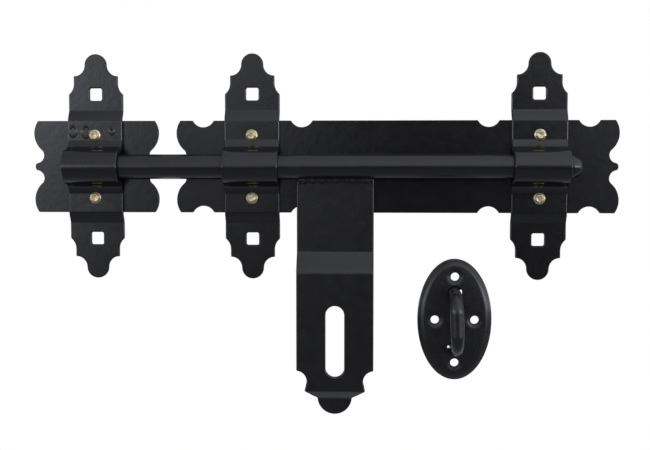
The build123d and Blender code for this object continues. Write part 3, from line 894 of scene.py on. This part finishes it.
class GATEBOLT_OT_staple(bpy.types.Operator):
    """Dress the staple plate, its staple and its welds"""

    bl_idname = "gatebolt.staple"
    bl_label = "Staple plate"

    def execute(self, context):
        dishes = [(0, SCREW_UP), (0, -SCREW_UP), (SCREW_ACROSS, 0), (-SCREW_ACROSS, 0)]
        plate, middle = pressed_plate("painted_staple_plate", "staple_plate", dishes)
        holes = [(middle.x + x, middle.z + z, SCREW_RADIUS) for x, z in dishes]
        holes += [(middle.x, middle.z + up, LEG_RADIUS) for up in (LEG_UP, -LEG_UP)]
        give_thickness(plate, "staple_plate", holes)
        coat = paint("black_paint", "_plate", dullness=STAPLE_DULLNESS)
        finish_piece(plate, coat, "mounting", "black_paint", "staple_plate")
        slots = {
            "staple": "black_rod_paint",
            "staple_weld_upper": "black_weld_paint",
            "staple_weld_lower": "black_weld_paint",
        }
        for node, slot in slots.items():
            piece = rounded_copy("painted_" + node, node, STAPLE_EDGE)
            coat = paint(slot, "_" + node, dullness=STAPLE_DULLNESS)
            finish_piece(piece, coat, "mounting", slot, node)
        return {"FINISHED"}


class GATEBOLT_OT_rivets(bpy.types.Operator):
    """Set a hammered yellow head on each of the six rivets"""

    bl_idname = "gatebolt.rivets"
    bl_label = "Rivets"

    def execute(self, context):
        settings = context.scene.gate_bolt_rivets
        nodes = sorted(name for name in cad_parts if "rivet" in name)
        if not nodes:
            raise RuntimeError("the frame has no rivets")
        heads = []
        for node in nodes:
            low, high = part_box(node)
            heads.append(((low.x + high.x) / 2, low.y + RIVET_DOME + RIVET_ROOM, (low.z + high.z) / 2))
            radius = (high.x - low.x) / 2
        mesh = bpy.data.meshes.new("rivet_places")
        mesh.from_pydata(heads, [], [])
        piece = new_object("rivet_heads", mesh)
        metal = rivet_metal("yellow_rivet_finish", settings.colour, RIVET_ROUGHNESS)
        tree, sockets = rivet_tree(metal)
        values = {
            "Head Radius": radius,
            "Head Height": RIVET_DOME,
            "Hammering": settings.hammering,
            "Seed": settings.seed,
        }
        run_tree(piece, tree, sockets, values)
        finish_piece(piece, metal, "mounting", "yellow_rivet", *nodes)
        return {"FINISHED"}


# Stage


def studio_world():
    """Bright sides and top, a dim floor, a dark middle in front, and white to the camera."""
    world = bpy.data.worlds.new("studio")
    bpy.context.scene.world = world
    world.use_nodes = True
    tree = world.node_tree
    tree.nodes.clear()
    direction = add_node(tree, "ShaderNodeTexCoord", (-1700, 0)).outputs["Generated"]
    parts = add_node(tree, "ShaderNodeSeparateXYZ", (-1500, 0))
    tree.links.new(direction, parts.inputs["Vector"])
    side = parts.outputs["X"]
    front = math_node(tree, "MULTIPLY", (-1300, 0), parts.outputs["Y"], -1.0)
    angle = math_node(tree, "ARCTAN2", (-1150, 0), parts.outputs["Z"], front)
    rise = math_node(tree, "MULTIPLY", (-1000, 0), angle, 180 / math.pi)
    ramps = []
    jobs = (
        (side, HORIZON_BY_SIDE),
        (rise, HORIZON_BY_RISE),
        (side, TOP_BY_SIDE),
        (rise, TOP_BY_RISE),
        (rise, FLOOR_BY_RISE),
    )
    for step, (value, stops) in enumerate(jobs):
        ramps.append(level_ramp(tree, value, stops, (-600, 500 - 300 * step)))
    horizon = math_node(tree, "MULTIPLY", (0, 400), ramps[0], ramps[1])
    top = math_node(tree, "MULTIPLY", (0, 0), ramps[2], ramps[3])
    to_top = map_range(tree, rise, HORIZON_TO_TOP, (0.0, 1.0), (0, -300), "SMOOTHSTEP")
    to_floor = map_range(tree, rise, HORIZON_TO_FLOOR, (0.0, 1.0), (0, -600), "SMOOTHSTEP")
    level = blend(tree, to_top, horizon, top, (200, 200))
    level = blend(tree, to_floor, level, ramps[4], (400, 0))
    studio = add_node(tree, "ShaderNodeBackground", (650, 0))
    studio.inputs["Color"].default_value = LIGHT_COLOUR
    tree.links.new(level, studio.inputs["Strength"])
    white = add_node(tree, "ShaderNodeBackground", (650, 200))
    white.inputs["Color"].default_value = WHITE
    path = add_node(tree, "ShaderNodeLightPath", (650, 400))
    mix = add_node(tree, "ShaderNodeMixShader", (900, 0))
    tree.links.new(path.outputs["Is Camera Ray"], mix.inputs["Fac"])
    tree.links.new(studio.outputs["Background"], mix.inputs[1])
    tree.links.new(white.outputs["Background"], mix.inputs[2])
    output = add_node(tree, "ShaderNodeOutputWorld", (1100, 0))
    tree.links.new(mix.outputs["Shader"], output.inputs["Surface"])


def pale_floor():
    """A wide sheet below the bolt, kept out of reflections, where the studio's light is seen."""
    z = CAD_BOX[0][2] - FLOOR_DROP
    corners = [(x * FLOOR_REACH, y * FLOOR_REACH, z) for x, y in ((-1, -1), (1, -1), (1, 1), (-1, 1))]
    mesh = bpy.data.meshes.new("floor")
    mesh.from_pydata(corners, [], [(0, 1, 2, 3)])
    mesh.materials.append(floor_material("pale_floor"))
    floor = new_object("floor", mesh)
    floor.visible_glossy = False
    floor.visible_diffuse = False


class GATEBOLT_OT_stage(bpy.types.Operator):
    """Set the pale floor, the studio's light and the camera"""

    bl_idname = "gatebolt.stage"
    bl_label = "Stage"

    def execute(self, context):
        settings = context.scene.gate_bolt_stage
        scene = context.scene
        scene.view_settings.view_transform = "Standard"
        pale_floor()
        studio_world()
        data = bpy.data.cameras.new("camera")
        data.sensor_width = SENSOR_WIDTH
        data.lens = settings.lens
        data.dof.use_dof = False
        data.clip_start = NEAREST
        data.clip_end = FARTHEST
        camera = new_object("camera", data)
        camera.location = settings.camera_place
        camera.rotation_euler = (math.radians(90) - settings.camera_tilt, 0, settings.camera_turn)
        scene.camera = camera
        return {"FINISHED"}


class GATEBOLT_PT_panel(bpy.types.Panel):
    """Lists the pieces and their settings"""

    bl_label = "Gate Bolt"
    bl_idname = "GATEBOLT_PT_panel"
    bl_space_type = "VIEW_3D"
    bl_region_type = "UI"
    bl_category = "Gate Bolt"

    def draw(self, context):
        layout = self.layout
        for group in (
            context.scene.gate_bolt_paint,
            context.scene.gate_bolt_rivets,
            context.scene.gate_bolt_stage,
        ):
            for name in group.__annotations__:
                layout.prop(group, name)
        for operator in OPERATORS:
            layout.operator(operator.bl_idname)


GROUPS = {
    "gate_bolt_paint": GateBoltPaint,
    "gate_bolt_rivets": GateBoltRivets,
    "gate_bolt_stage": GateBoltStage,
}
OPERATORS = (
    GATEBOLT_OT_plates,
    GATEBOLT_OT_straps,
    GATEBOLT_OT_rod,
    GATEBOLT_OT_hasp,
    GATEBOLT_OT_weld,
    GATEBOLT_OT_staple,
    GATEBOLT_OT_rivets,
    GATEBOLT_OT_stage,
)


def register():
    for group in GROUPS.values():
        bpy.utils.register_class(group)
    for operator in OPERATORS:
        bpy.utils.register_class(operator)
    bpy.utils.register_class(GATEBOLT_PT_panel)
    for name, group in GROUPS.items():
        setattr(bpy.types.Scene, name, bpy.props.PointerProperty(type=group))


def unregister():
    for name in GROUPS:
        delattr(bpy.types.Scene, name)
    bpy.utils.unregister_class(GATEBOLT_PT_panel)
    for operator in reversed(OPERATORS):
        bpy.utils.unregister_class(operator)
    for group in reversed(list(GROUPS.values())):
        bpy.utils.unregister_class(group)


def main():
    register()
    bpy.ops.gatebolt.plates()
    bpy.ops.gatebolt.straps()
    bpy.ops.gatebolt.rod()
    bpy.ops.gatebolt.hasp()
    bpy.ops.gatebolt.weld()
    bpy.ops.gatebolt.staple()
    bpy.ops.gatebolt.rivets()
    bpy.ops.gatebolt.stage()


if __name__ == "__main__":
    main()
